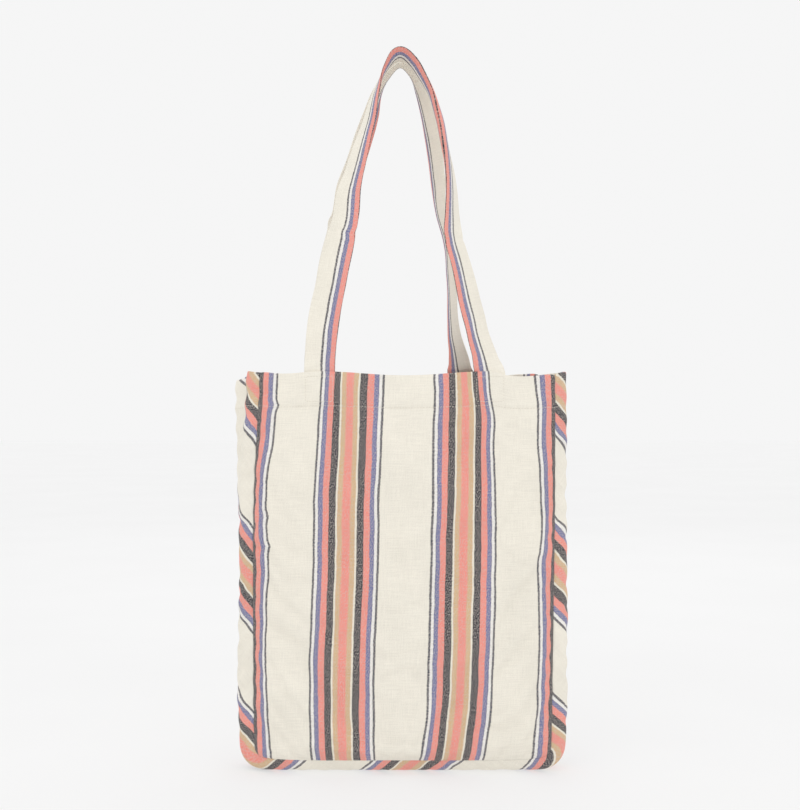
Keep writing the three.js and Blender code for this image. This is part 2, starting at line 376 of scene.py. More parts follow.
# Creases of the front: from, to, width, and height outward.
FRONT_CREASES = [
    ((44, 62), (104, 70), 4.5, 1.5),
    ((60, 46), (126, 50), 4.0, -1.2),
    ((78, 34), (138, 30), 3.5, 1.3),
    ((-126, 88), (-84, 80), 5.0, 1.0),
    ((-134, 128), (-108, 132), 4.0, 0.9),
    ((118, 220), (144, 226), 4.0, 0.9),
    ((112, 168), (142, 160), 4.5, 0.9),
    ((-118, 300), (-92, 286), 6.0, 0.9),
    ((-20, 330), (14, 322), 8.0, 0.7),
    ((96, 330), (134, 318), 6.0, 0.8),
    ((-100, 30), (-30, 26), 4.0, 1.0),
    ((-90, 357), (-26, 356.5), 3.0, -0.8),
    ((30, 352), (96, 351.5), 3.0, -0.8),
    ((-150, 371), (-128, 369), 3.5, 1.2),
    ((-150, 262), (-126, 259), 3.5, 1.2),
    ((-150, 232), (-128, 230), 3.5, 1.2),
    ((-99.5, 402), (-99.5, 372), 2.2, -0.8),
    ((107, 400), (107, 373), 2.2, -0.8),
    ((104, 378), (109, 400), 2.5, 0.7),
]
BACK_CREASES = [
    ((-110, 58), (-40, 66), 5.0, 1.4),
    ((-60, 40), (20, 36), 4.0, -1.1),
    ((40, 90), (116, 74), 5.0, 1.2),
    ((-130, 170), (-96, 176), 4.5, 0.9),
    ((104, 240), (138, 232), 4.5, 0.9),
    ((-30, 312), (24, 322), 8.0, 0.8),
    ((60, 350), (120, 348), 3.5, -0.8),
]


# The hem is drawn in along its stitching, and stands proud above it.
HEM_LINE = 369.5
HEM_GROOVE = -0.9
HEM_STEP = 0.5
# The panels' soft waves and smaller ripples: how long each is and how far it stands out.
WAVE_SIZE = 85.0
WAVE_HEIGHT = 2.0
RIPPLE_SIZE = 30.0
RIPPLE_HEIGHT = 0.55


def relief(x, z, creases, seed):
    """Everything that makes a panel less than flat: swelling, soft waves, creases and the hem."""
    places = np.stack([x.ravel(), z.ravel() * 0.7, np.zeros(x.size)], axis=1)
    waves = cloud(places, WAVE_SIZE, seed).reshape(x.shape) * WAVE_HEIGHT
    ripples = cloud(places, RIPPLE_SIZE, seed + 3).reshape(x.shape) * RIPPLE_HEIGHT
    inner = smooth((SEAM_HALF - np.abs(x)) / 30) * smooth((z - SEAM_BASE) / 30)
    free = smooth((MOUTH - z) / 30)
    hem = HEM_GROOVE * np.exp(-(((z - HEM_LINE) / 2.4) ** 2)) + HEM_STEP * smooth((z - HEM_LINE) / 5)
    return crown(x, z) + (waves + ripples) * inner * (0.35 + 0.65 * free) + folds(x, z, creases) + hem


def mouth_dip(x, handles):
    """How far the top edge hangs down between its handles."""
    places = [-SEAM_HALF, *handles, SEAM_HALF]
    dips = []
    for a, b in zip(places[:-1], places[1:]):
        t = np.clip((x - a) / (b - a), 0, 1)
        depth = min(4.0, (b - a) / 30)
        dips.append(np.where((x >= a) & (x < b), np.sin(math.pi * t) ** 2 * depth, 0))
    return np.sum(dips, axis=0)


FRONT_HANDLES = (-82.5, 88.0)
BACK_HANDLES = (-87.5, 64.0)

# Further dips of the top edge beside the handles: how far out from the middle each starts, over
# what length, and how deep it gets. The rise has its top at its place.
FRONT_RIGHT_DIP = (92, 14, 3.0)
BACK_RIGHT_DIP = (138, 12, 2.5)
BACK_LEFT_DIP = (130, 25, 4.0)
BACK_RISE = (120, 12, 1.0)
DIP_START = 330  # the height above which the cloth follows the dips


def slope(x, shape):
    """A dip that starts at a place and reaches its depth over a length."""
    place, length, depth = shape
    return depth * smooth((x - place) / length)


def front_dip(x):
    """How far the front's top edge lies below the mouth."""
    return mouth_dip(x, FRONT_HANDLES) + slope(x, FRONT_RIGHT_DIP)


def back_dip(x):
    """How far the back's top edge lies below the mouth."""
    place, length, height = BACK_RISE
    dip = mouth_dip(x, BACK_HANDLES) - height * np.exp(-(((x - place) / length) ** 2))
    return dip + slope(x, BACK_RIGHT_DIP) + slope(-x, BACK_LEFT_DIP)


def panel_points(facing, leans, creases, seeds, dip):
    """A panel's flat places and its points; it faces the way its sign says along Y."""
    across, up, x, z, out, rise = panel_layout(*leans, seeds[0])
    out = out + relief(x, z, creases, seeds[1]) * rise
    z = z - dip(x) * smooth((z - DIP_START) / (MOUTH - DIP_START))
    return across, up, np.stack([x, facing * out, z], axis=-1)


# Each panel's facing, its seams' leans, its creases, the seeds of its layout and relief, and its dip.
FRONT = (-1, (FRONT_LEFT_LEAN, FRONT_RIGHT_LEAN), FRONT_CREASES, (0.4, 1), front_dip)
BACK = (1, (BACK_LEFT_LEAN, BACK_RIGHT_LEAN), BACK_CREASES, (2.9, 9), back_dip)


def weave_across(across, points):
    """The woven pattern's own place across the panel, which the eased cloth has shifted a little."""
    z = points[..., 2]
    places = through(z.ravel(), WEAVE_HEIGHTS, WEAVE_PLACES).reshape(z.shape + (4,))
    for height, reach, shift in LEFT_TUCKS:
        places[..., 0] += shift * np.exp(-(((z - height) / reach) ** 2))
    left_seam = -SEAM_HALF + through(z, SEAM_HEIGHTS, FRONT_LEFT_LEAN)
    right_seam = SEAM_HALF + through(z, SEAM_HEIGHTS, FRONT_RIGHT_LEAN)
    flat_inset, _ = roll(across)
    from_right, _ = roll(FLAT_WIDTH - across)
    level = np.where(across < FLAT_WIDTH / 2, -SEAM_HALF + flat_inset, SEAM_HALF - from_right)
    along = across + (points[..., 0] - level) - (left_seam + SEAM_HALF)
    extra = ROLL_LENGTH - ROLL_RUN
    knots = [np.zeros_like(z), places[..., 0] - left_seam + extra]
    side_line = 3 * BAND_CENTRE - BAND_HALF
    woven = [-CUT_HALF_WIDTH, -side_line]
    seen_edges = (-SEEN_BAND_HALF, -SEEN_MIDDLE_HALF, SEEN_MIDDLE_HALF, SEEN_BAND_HALF)
    woven_edges = (-BAND_HALF, -MIDDLE_HALF, MIDDLE_HALF, BAND_HALF)
    for band, centre, draws in zip((1, 2), (-BAND_CENTRE, BAND_CENTRE), BAND_DRAWS):
        drawn = through(z.ravel(), DRAW_HEIGHTS, draws).reshape(z.shape + (4,))
        for edge in range(4):
            knots.append(places[..., band] + seen_edges[edge] + drawn[..., edge] - left_seam + extra)
            woven.append(centre + woven_edges[edge])
    knots += [places[..., 3] - left_seam + extra, right_seam - left_seam + 2 * extra]
    woven += [side_line, CUT_HALF_WIDTH]
    knots = np.stack(knots, axis=-1).reshape(-1, len(woven))
    values = [np.interp(a, k, woven) for a, k in zip(along.ravel(), knots)]
    return np.array(values).reshape(z.shape)


def seam_order(rows, columns):
    """Row and column of each point along the seam, from the left top round the base to the right top."""
    left = [(r, 0) for r in range(rows - 1, 0, -1)]
    base = [(0, c) for c in range(columns)]
    right = [(r, columns - 1) for r in range(1, rows)]
    return np.array(left + base + right)


# The gusset's profile across the bag, from the front seam to the back seam: share of the way
# across and distance out. It slopes out from each seam and rounds over to a flat middle.
PROFILE_SHARES = [0, 0.10, 0.18, 0.27, 0.5, 0.73, 0.82, 0.90, 1]
PROFILE_OUT = [0, 7.8, 12.6, 14.8, 15, 14.8, 12.6, 7.8, 0]
# At the left of the mouth the near half folds out to a ridge and the far half stands out past it.
FOLDED_SHARES = [0, 0.12, 0.22, 0.30, 0.44, 0.62, 0.76, 0.88, 1]
FOLDED_OUT = [0, 6.8, 10.0, 8.6, 2.0, 8.0, 14.5, 11.0, 0]
RIDGE_CLOTH = 34.0  # the cloth pinched into the ridge
# How far the gusset's top edge stands up on the right and at the left's ridge, and drops past it.
RIGHT_LIFT = 2.8
RIDGE_LIFT = 2.0
FAR_DROP = 4.5
GUSSET_SHARES = np.array(
    [0, 0.045, 0.09, 0.13, 0.17, 0.21, 0.26, 0.31, 0.37, 0.44, 0.5, 0.56, 0.63, 0.69, 0.74, 0.79]
    + [0.83, 0.87, 0.91, 0.955, 1]
)


def seam_outward(outline):
    """Direction out of the bag, in the XZ plane, at each point of the level seam outline."""
    tangent = unit(np.gradient(outline, axis=0))
    return np.stack([tangent[:, 1], np.zeros(len(outline)), -tangent[:, 0]], axis=1)


def gusset_points(front_seam, back_seam, outline):
    """The strip's points, one row for each seam point, and how far along and across the cut each lies."""
    share = GUSSET_SHARES
    normal = seam_outward(outline)
    step = np.linalg.norm(np.diff(outline, axis=0), axis=1)
    along = np.concatenate([[0], np.cumsum(step)])
    high = outline[:, 1]
    on_left = outline[:, 0] < 0

    usual = through(share, PROFILE_SHARES, PROFILE_OUT)[None, :]
    folded = through(share, FOLDED_SHARES, FOLDED_OUT)[None, :]
    fold = np.where(on_left, smooth((high - 275) / 100), 0)[:, None]
    bulge = usual * (1 - fold) + folded * fold

    # Soft waves, held flat where the strip rests on its base.
    sway = np.sin(along / 41.0 + 0.6)[:, None] * np.sin(math.pi * share)[None, :]
    upright = smooth((high - 30) / 40)[:, None]
    bulge = bulge + 1.2 * sway * upright
    gather = pucker(along + 5.0, 0.4)[:, None] * np.exp(-share / 0.12)[None, :]
    gather = gather + pucker(along + 31.0, 2.9)[:, None] * np.exp(-(1 - share) / 0.12)[None, :]
    edges = np.clip(share * 8, 0, 1) * np.clip((1 - share) * 8, 0, 1)
    bulge = bulge - 0.9 * gather * upright * edges[None, :]

    line = front_seam[:, None, :] * (1 - share)[None, :, None] + back_seam[:, None, :] * share[None, :, None]
    points = line + normal[:, None, :] * bulge[..., None]

    # The top edge stands up beside the front seams, and on the left it falls away behind the fold.
    lift = RIGHT_LIFT * np.sin(math.pi * share**0.7) ** 0.8
    ridge = RIDGE_LIFT * np.exp(-(((share - 0.24) / 0.12) ** 2))
    left_lift = ridge - FAR_DROP * smooth((share - 0.5) / 0.22) * smooth((1 - share) / 0.14)
    top = smooth((high - 350) / (MOUTH - 350))[:, None]
    points[..., 2] += top * np.where(on_left[:, None], left_lift, lift)
    width = np.linalg.norm(np.diff(points, axis=1), axis=2)
    across = np.concatenate([np.zeros((len(points), 1)), np.cumsum(width, axis=1)], axis=1)
    pinched = RIDGE_CLOTH * fold * smooth((high[:, None] - 335) / 40)
    return points, along, across + pinched * smooth((share - 0.19) / 0.12)


# The bias strip was eased as it was sewn, so its bands are not evenly spaced along the seam.
EASE_PLACES = [0, 24, 210, 393, 551, 665, 706, 750, 836, 907, 970, 1044, 1090]
EASE_SHIFTS = [3, 3, -12, -21, -5, 2, 15, 19, 17.5, 13, 9, 5.5, 5.5]
FIRST_BIAS_BAND = 24.0
FLATTER = 0.7  # the eased cloth has sheared, so its stripes cross the strip flatter than they were cut


def bias_pattern(along, across):
    """The woven pattern's place on the bias strip, across and along the stripes."""
    eased = along + through(along, EASE_PLACES, EASE_SHIFTS) - FIRST_BIAS_BAND
    u = eased * math.cos(BIAS) + FLATTER * across * math.sin(BIAS) + BAND_CENTRE
    v = across * math.cos(BIAS) - eased * math.sin(BIAS)
    return u, v


def build_shell():
    """All the bag's cloth in one mesh: points, faces, and the index of each piece's points."""
    front_across, front_up, front = panel_points(*FRONT)
    back_across, back_up, back = panel_points(*BACK)
    rows, columns = front_across.shape
    order = seam_order(rows, columns)
    level_x, level_z, *_ = level_place(front_across, front_up)
    outline = np.stack([level_x, level_z], axis=-1)[order[:, 0], order[:, 1]]
    front_seam = front[order[:, 0], order[:, 1]]
    back_seam = back[order[:, 0], order[:, 1]]
    strip, along, across = gusset_points(front_seam, back_seam, outline)

    count = rows * columns
    front_index = np.arange(count).reshape(rows, columns)
    back_index = front_index + count
    inner = strip[:, 1:-1]
    inner_index = 2 * count + np.arange(inner.shape[0] * inner.shape[1]).reshape(inner.shape[:2])
    strip_index = np.column_stack(
        [front_index[order[:, 0], order[:, 1]], inner_index, back_index[order[:, 0], order[:, 1]]]
    )
    points = np.concatenate([front.reshape(-1, 3), back.reshape(-1, 3), inner.reshape(-1, 3)])

    front_cloth = np.stack([weave_across(front_across, front), front_up], axis=-1)
    back_mirror = np.stack([-back_across + FLAT_WIDTH / 2, back_up], axis=-1)
    back_mirror[..., 0] *= 2 * CUT_HALF_WIDTH / FLAT_WIDTH
    u, v = bias_pattern(along[:, None], across)
    return {
        "points": points,
        "front": front_index,
        "back": back_index[:, ::-1],
        "strip": strip_index,
        "front_cloth": front_cloth,
        "back_cloth": back_mirror[:, ::-1],
        "strip_cloth": np.stack([u, v], axis=-1),
        "outward": seam_outward(outline),
        "along": along,
    }


shell = build_shell()


# ---- Settling the cloth ----

SETTLE_FRAMES = 24
SETTLE_LIMIT = 6.0


def hold_weights(points):
    """How firmly each point is held while the cloth settles: the hem most, the panels least."""
    z = points[:, 2]
    hem = smooth((z - (MOUTH - HEM_DEPTH - 14)) / 14)
    base = smooth((26 - z) / 20)
    return np.clip(0.12 + 0.75 * hem + 0.25 * base, 0, 1)


def settle(points, faces, seams):
    """Lets the sewn cloth relax under its own weight, with its seams drawn up a little."""
    obj = new_object("settling", points, faces)
    held = obj.vertex_groups.new(name="held")
    for index, weight in enumerate(hold_weights(points)):
        held.add([index], float(weight), "REPLACE")
    drawn = obj.vertex_groups.new(name="drawn")
    drawn.add(seams.tolist(), 1.0, "REPLACE")

    cloth = obj.modifiers.new("cloth", "CLOTH")
    settings = cloth.settings
    settings.quality = 6
    settings.mass = 0.02
    settings.tension_stiffness = 30
    settings.compression_stiffness = 12
    settings.shear_stiffness = 8
    settings.bending_stiffness = 0.6
    settings.tension_damping = 12
    settings.compression_damping = 12
    settings.bending_damping = 0.8
    settings.vertex_group_mass = "held"
    settings.pin_stiffness = 1.2
    settings.vertex_group_shrink = "drawn"
    settings.shrink_min = -0.012
    settings.shrink_max = 0.055
    settings.use_pressure = True
    settings.uniform_pressure_force = 0.35
    cloth.collision_settings.use_collision = False
    cloth.point_cache.frame_start = 1
    cloth.point_cache.frame_end = SETTLE_FRAMES

    scene = bpy.context.scene
    for frame_number in range(1, SETTLE_FRAMES + 1):
        scene.frame_set(frame_number)
    graph = bpy.context.evaluated_depsgraph_get()
    moved = obj.evaluated_get(graph).data
    values = np.empty(len(points) * 3, np.float32)
    moved.vertices.foreach_get("co", values)
    settled = values.reshape(-1, 3).astype(float) / MM
    bpy.data.objects.remove(obj)
    scene.frame_set(1)
    return settled


def limited(start, end, limit):
    """The move from start to end, eased off so that no point goes further than the limit."""
    move = end - start
    length = np.linalg.norm(move, axis=1, keepdims=True)
    return start + move * (limit * np.tanh(length / limit) / np.maximum(length, 1e-9))


def settled_shell():
    """The shell's points after settling, with none below the floor."""
    points = shell["points"]
    faces = np.concatenate([grid_faces(shell[part]) for part in ("front", "back", "strip")])
    seams = np.unique(np.concatenate([shell["strip"][:, 0], shell["strip"][:, -1]]))
    points = limited(points, settle(points, faces, seams), SETTLE_LIMIT)
    points[:, 2] = np.maximum(points[:, 2], CLOTH)
    return points


POINTS = settled_shell()


# ---- Cutting the shell into its pieces ----


def grid_normals(grid):
    """Outward normals of a grid of points, whose columns cross its rows to face out."""
    return unit(np.cross(np.gradient(grid, axis=1), np.gradient(grid, axis=0)))


def turned_hem(grid, cloth, up):
    """Rows that carry a grid over its last row, which is the mouth, and down inside as a hem."""
    normals = grid_normals(grid)
    level = normals[-1].copy()
    level[:, 2] = 0
    level = unit(level)
    top = grid[-1]
    centre = top - level * HEM_FOLD
    upward = np.array([0, 0, 1.0])
    rows, places = [], []
    for angle in np.radians([45, 90, 135]):
        rows.append(centre + HEM_FOLD * (math.cos(angle) * level + math.sin(angle) * upward))
        places.append(cloth[-1] + np.array([0, HEM_FOLD * angle]))
    inside = np.flatnonzero(up > up[-1] - HEM_DEPTH)[::-1]
    for row in inside:
        blend = smooth((up[-1] - up[row]) / 12)
        normal = unit(level * (1 - blend) + normals[row] * blend)
        rows.append(grid[row] - 2 * HEM_FOLD * normal)
        places.append(cloth[-1] + np.array([0, math.pi * HEM_FOLD + up[-1] - up[row]]))
    return np.array(rows), np.array(places)


def cloth_piece(name, grid, cloth):
    """A grid of points as one smooth sheet, which gets its thickness towards its wrong side."""
    numbers = np.arange(len(grid) * len(grid[0])).reshape(grid.shape[:2])
    obj = new_object(name, grid.reshape(-1, 3), grid_faces(numbers), cloth.reshape(-1, 2))
    add_smoothing(obj)
    solid = obj.modifiers.new("thickness", "SOLIDIFY")
    solid.thickness = CLOTH * MM
    solid.offset = -1
    solid.use_rim = True
    apply_modifiers(obj)
    return obj


def panel_piece(name, index, cloth):
    """A panel with its turned hem, as one piece of thick cloth."""
    grid = POINTS[index]
    extra, places = turned_hem(grid, cloth, ROWS)
    return cloth_piece(name, np.concatenate([grid, extra]), np.concatenate([cloth, places]))


def strip_piece(name):
    """The gusset with a turned hem at each end, as one piece of thick cloth."""
    grid = POINTS[shell["strip"]]
    cloth = shell["strip_cloth"]
    ups = ROWS[1:]
    count = len(ups)
    right, right_places = turned_hem(grid[-count:], cloth[-count:], ups)
    left, left_places = turned_hem(grid[:count][::-1, ::-1], cloth[:count][::-1, ::-1], ups)
    left, left_places = left[::-1, ::-1], left_places[::-1, ::-1]
    cloth = np.concatenate([left_places, cloth, right_places])
    return cloth_piece(name, np.concatenate([left, grid, right]), cloth)


front_panel = panel_piece("front_panel_cloth", shell["front"], shell["front_cloth"])
back_panel = panel_piece("back_panel_cloth", shell["back"], shell["back_cloth"])
gusset = strip_piece("gusset_strip")


# ---- Sampling the finished cloth ----


def surface_tree(*objects):
    """One search tree over the finished surfaces of several objects, in metres."""
    points, faces = [], []
    for obj in objects:
        start = len(points)
        points.extend(vertex.co.copy() for vertex in obj.data.vertices)
        faces.extend([start + i for i in face.vertices] for face in obj.data.polygons)
    return BVHTree.FromPolygons(points, faces)


cloth_tree = surface_tree(front_panel, back_panel, gusset)
SNAP_REACH = 6.0


def snapped(points, directions):
    """Points moved onto the cloth, each found along its direction, with the normals there."""
    places, normals = [], []
    for point, direction in zip(points, directions):
        start = Vector(point + direction * SNAP_REACH) * MM
        hit, normal, _, _ = cloth_tree.ray_cast(start, Vector(-direction), 2.5 * SNAP_REACH * MM)
        if hit is None:
            hit, normal, _, _ = cloth_tree.find_nearest(Vector(point) * MM)
        if normal.dot(Vector(direction)) < 0:
            normal = -normal
        places.append(np.array(hit) / MM)
        normals.append(np.array(normal))
    return np.array(places), np.array(normals)


STITCH = 2.9


def resampled(points, closed=False):
    """Stitch places, evenly spaced along a line of points."""
    points = np.asarray(points, float)
    if closed:
        points = np.vstack([points, points[:1]])
    lengths = np.concatenate([[0], np.cumsum(np.linalg.norm(np.diff(points, axis=0), axis=1))])
    count = max(2, round(lengths[-1] / STITCH) + 1)
    places = np.linspace(0, lengths[-1], count)
    even = np.stack([np.interp(places, lengths, points[:, i]) for i in range(3)], axis=1)
    return even[:-1] if closed else even


# ---- Stitching ----

STITCH_GAP = 0.9
SHORTEST_STITCH = 0.4
THREAD_RADIUS = 0.24
# A stitch's rings: place along it, size, and how far the ring stands off the cloth.
STITCH_RINGS = [
    (-0.5, 0.35, -0.35),
    (-0.36, 0.85, 0.02),
    (0.0, 1.0, 0.16),
    (0.36, 0.85, 0.02),
    (0.5, 0.35, -0.35),
]
THREAD_SIDES = 6


def add_stitches(name, lines):
    """Separate short stitches along lines of surface points, each sunk a little at its ends."""
    points, faces = [], []
    angles = np.linspace(0, 2 * math.pi, THREAD_SIDES, endpoint=False)
    for places, normals in lines:
        for i in range(len(places) - 1):
            along = places[i + 1] - places[i]
            length = np.linalg.norm(along) - STITCH_GAP
            if length <= SHORTEST_STITCH:
                continue
            along = unit(along)
            normal = unit(normals[i] + normals[i + 1])
            side = unit(np.cross(along, normal))
            centre = (places[i] + places[i + 1]) / 2
            start = len(points)
            for share, size, lift in STITCH_RINGS:
                middle = centre + along * length * share + normal * lift * THREAD_RADIUS * 1.6
                for angle in angles:
                    offset = side * math.cos(angle) + normal * math.sin(angle)
                    points.append(middle + offset * THREAD_RADIUS * size)
            for a, b, c, d in ring_quads(start, len(STITCH_RINGS), THREAD_SIDES):
                faces.append([b, a, d, c])
            faces.append(list(range(start, start + THREAD_SIDES)))
            last = start + (len(STITCH_RINGS) - 1) * THREAD_SIDES
            faces.append(list(range(last + THREAD_SIDES - 1, last - 1, -1)))
    return new_object(name, np.array(points), faces)


STITCH_Z = node_box("front_hem_stitch")[0][2] + 0.4


def row_line(grid, normals, up):
    """A line across a grid of shell points at a flat height, with its outward directions."""
    row = np.searchsorted(ROWS, up)
    share = (up - ROWS[row - 1]) / (ROWS[row] - ROWS[row - 1])
    line = grid[row - 1] * (1 - share) + grid[row] * share
    return line, unit(normals[row - 1] * (1 - share) + normals[row] * share)


def even_places(line):
    """Stitch places along a line of points, and the index of the point nearest to each."""
    even = resampled(line)
    return even, [int(np.argmin(np.linalg.norm(line - p, axis=1))) for p in even]


def stitch_line(line, normals):
    """Stitch places on the outside of the cloth along a line of shell points."""
    even, index = even_places(line)
    return snapped(even, normals[index])


def hem_stitching(name, grid):
    """The hem's row of stitches, seen on both sides of the cloth."""
    normals = grid_normals(grid)
    up = FLAT_HEIGHT - (MOUTH - STITCH_Z)
    line, directions = row_line(grid, normals, up)
    outside = stitch_line(line, directions)
    inside = stitch_line(line - directions * 2 * HEM_FOLD, -directions)
    return add_stitches(name, [outside, inside])


def side_grid(side):
    """The gusset's upright stretch on one side, its rows going up and facing out."""
    grid = POINTS[shell["strip"]]
    count = len(ROWS) - 1
    if side == "left":
        return grid[: count + 1][::-1, ::-1]
    return grid[-count - 1 :]


# The cloth under each hem, its rows going up and facing out.
MOUTH_GRIDS = {
    "front": POINTS[shell["front"]],
    "back": POINTS[shell["back"]],
    "left": side_grid("left"),
    "right": side_grid("right"),
}
hem_stitches = {side: hem_stitching(f"{side}_hem_stitches", grid) for side, grid in MOUTH_GRIDS.items()}


def box_stitching(corner, facing):
    """A rectangle of stitches through the panel and the strap end, seen on the panel's face."""
    low, high = node_box(f"{corner}_box_stitch")
    corners = [(low[0], low[2]), (high[0], low[2]), (high[0], high[2]), (low[0], high[2])]
    ring = np.array([(x, facing * (FACE_DEPTH + 2), z) for x, z in corners])
    even = resampled(ring, closed=True)
    even = np.vstack([even, even[:1]])
    directions = np.tile([0.0, facing, 0.0], (len(even), 1))
    return add_stitches(f"{corner}_box_stitches", [snapped(even, directions)])


# The way each strap end's panel faces along Y.
CORNERS = {"front_left": -1, "front_right": -1, "back_left": 1, "back_right": 1}
box_stitches = {corner: box_stitching(corner, facing) for corner, facing in CORNERS.items()}


# ---- Seam allowances ----

ALLOWANCE = 8.0
PLY = 0.9
# The section of one cut edge, once round: how far in from the seam, and on which side.
ALLOWANCE_REACHES = (1.9, ALLOWANCE * 0.55, ALLOWANCE)
ALLOWANCE_SECTION = [(r, -1) for r in ALLOWANCE_REACHES] + [(r, 1) for r in ALLOWANCE_REACHES[::-1]]


def seam_frame(column, inward_y):
    """A seam's points below the hem, how far along each lies, and the ways in and across its edges."""
    points = POINTS[shell["strip"][:, column]]
    below = points[:, 2] < MOUTH - HEM_DEPTH - 0.5
    outward = shell["outward"][below]
    inward = unit(-outward + np.array([0, inward_y, 0]))
    across = unit(-outward - np.array([0, inward_y, 0]))
    return points[below], shell["along"][below], inward, across


def add_allowance(name, column, inward_y):
    """The two cut edges inside a seam, lying against each other and parting a little."""
    points, along, inward, across = seam_frame(column, inward_y)
    vertices, faces, cloth = [], [], []
    for ply in (-1, 1):
        start = len(vertices)
        flare = 0.5 + 0.35 * np.sin(along / 17.0 + ply) + 0.25 * np.sin(along / 7.3 + 2 * ply)
        for i, point in enumerate(points):
            for reach, side in ALLOWANCE_SECTION:
                part = (reach / ALLOWANCE) ** 2 * flare[i]
                offset = ply * (PLY / 2 + 0.12 + part) + side * PLY / 2
                vertices.append(point + inward[i] * reach + across[i] * offset)
                cloth.append((reach + 90.0 * ply, along[i]))
        size = len(ALLOWANCE_SECTION)
        faces += ring_quads(start, len(points), size)
        faces.append([start + k for k in range(size)][::-1])
        last = start + (len(points) - 1) * size
        faces.append([last + k for k in range(size)])
    obj = new_object(name, np.array(vertices), faces, np.array(cloth))
    tidy_normals(obj)
    return obj


def tidy_normals(obj):
    """Turns every closed part's faces outward."""
    mesh = bmesh.new()
    mesh.from_mesh(obj.data)
    bmesh.ops.recalc_face_normals(mesh, faces=mesh.faces)
    mesh.to_mesh(obj.data)
    mesh.free()


def seam_stitching(name, column, inward_y):
    """The seam's own stitches, along the inner face of its allowance."""
    points, _, inward, across = seam_frame(column, inward_y)
    lines = []
    for side in (-1, 1):
        line = points + inward * 2.6 + across * side * (PLY + 0.16)
        even, index = even_places(line)
        lines.append((even, side * across[index]))
    return add_stitches(name, lines)


# Each seam's column in the strip, and the way into the bag along Y.
SEAMS = {"front": (0, 1.0), "back": (-1, -1.0)}
allowances = {side: add_allowance(f"{side}_seam_edges", *seam) for side, seam in SEAMS.items()}
seam_stitches = {side: seam_stitching(f"{side}_seam_stitches", *seam) for side, seam in SEAMS.items()}


# ---- Handles ----

STRAP_WIDTH = 32.4
STRAP_BASE_WIDTH = 31.2
STRAP_THICKNESS = 3.2
STRAP_PLY = 0.9
STRAP_SEAM_PLACE = BAND_CENTRE + 17.35
SEAM_CURL = 1.5  # cloth that the seamed edge rounds under
STRAP_STEP = 2.0
STRAP_END_LOW = MOUTH - 32.0

# X, Y, Z and the direction of the seamed edge round Z, in degrees from +X.
FRONT_ROUTE = [
    (-82.3, -31.2, 419, -3),
    (-80.4, -30.7, 443, -6),
    (-77, -30.2, 467, -8),
    (-72, -29.5, 491, -11),
    (-67.5, -28.6, 515, -15),
    (-62.5, -27.7, 537, -20),
    (-57, -26.6, 560, -32),
    (-53.5, -25.3, 588, -40),
    (-47, -23.8, 612, -49),
    (-40, -22, 637, -55),
    (-33.3, -20.7, 661, -63),
    (-27.2, -19.5, 687, -74),
    (-16, -19, 710.5, -82),
    (-1.5, -19, 723.5, -90),
    (9.8, -19, 715, -91),
    (18, -19, 704, -92),
    (29, -19.2, 686, -94),
    (38, -19.6, 662, -97),
    (43, -20, 638, -99),
    (47.9, -21, 613.5, -107),
    (50.4, -22, 589, -113),
    (51, -23.5, 564.5, -119),
    (52.5, -25, 540, -129),
    (59.1, -26, 515.5, -131),
    (64.9, -26.6, 491.5, -137),
    (70.6, -26.8, 467, -139),
    (76.7, -27.3, 443, -141),
    (83.6, -29.5, 419, -152),
]
BACK_ROUTE = [
    (-87, 31, 421, 5),
    (-84.4, 30.5, 446, 8),
    (-80.7, 30, 471, 9),
    (-75, 29.4, 497, 12),
    (-70.3, 28.5, 522, 15),
    (-64.3, 27.4, 547, 22),
    (-58.7, 26.2, 573, 32),
    (-55.5, 25, 598, 40),
    (-48.5, 23.2, 623, 52),
    (-40.5, 21.4, 649, 56),
    (-32, 20, 674, 63),
    (-24.5, 19.2, 697, 73),
    (-14.5, 19, 713, 82),
    (-1.5, 19, 724.5, 90),
    (9.5, 19, 715, 100),
    (17.5, 19.1, 699, 114),
    (25, 19.3, 674, 122),
    (30.2, 19.6, 649, 125),
    (33.8, 19.8, 623, 124),
    (36.1, 20, 598, 120),
    (39.5, 20, 573, 114),
    (46.5, 20.5, 547, 110),
    (50.5, 21, 510, 108),
    (52.2, 22, 471, 107),
    (54.5, 23.5, 446, 113),
    (59.5, 26, 421, 129),
    (61.2, 28.5, 409, 142),
]

# Soft bends across a strap: side, height, length, how far the cloth stands off, and how far
# the strap steps sideways.
KINKS = {
    "front": [
        (-1, 546, 3.6, 2.0, 1.6),
        (-1, 604, 8.0, 0.7, 0.2),
        (1, 539, 4.0, 2.0, 1.2),
        (1, 470, 9.0, 0.6, 0.3),
    ],
    "back": [
        (-1, 560, 6.0, 1.4, 1.5),
        (1, 600, 8.0, 1.0, 0.4),
        (1, 480, 9.0, 0.8, 0.4),
    ],
}

# How far the seamed edge turns outward from the loop and how many times thicker the strap
# puffs up beside it, by height on the left and right legs.
LEG_HEIGHTS = [440, 500, 560, 600, 640, 670, 690, 706, 724]
CURLS = {
    "front": ([0, 0, 0, 0, 0, 0, 0, 3.5, 7.0], [0, 0, 0, 0, 0, 1.0, 3.5, 6.2, 7.0]),
    "back": ([0, 0, 0, 0, 0, 0, 1.0, 3.0, 4.0], [0, 1.5, 3.0, 4.2, 4.8, 5.0, 4.5, 4.0, 4.0]),
}
PUFFS = {
    "front": ([1, 1, 1, 1, 1, 1, 1, 1, 1], [1, 1, 1.2, 1.6, 2.2, 2.2, 1.8, 1.3, 1]),
    "back": ([1, 1, 1, 1, 1, 1, 1, 1, 1], [1, 1, 1, 1.2, 1.3, 1.3, 1.2, 1, 1]),
}
CURL_END = 0.1


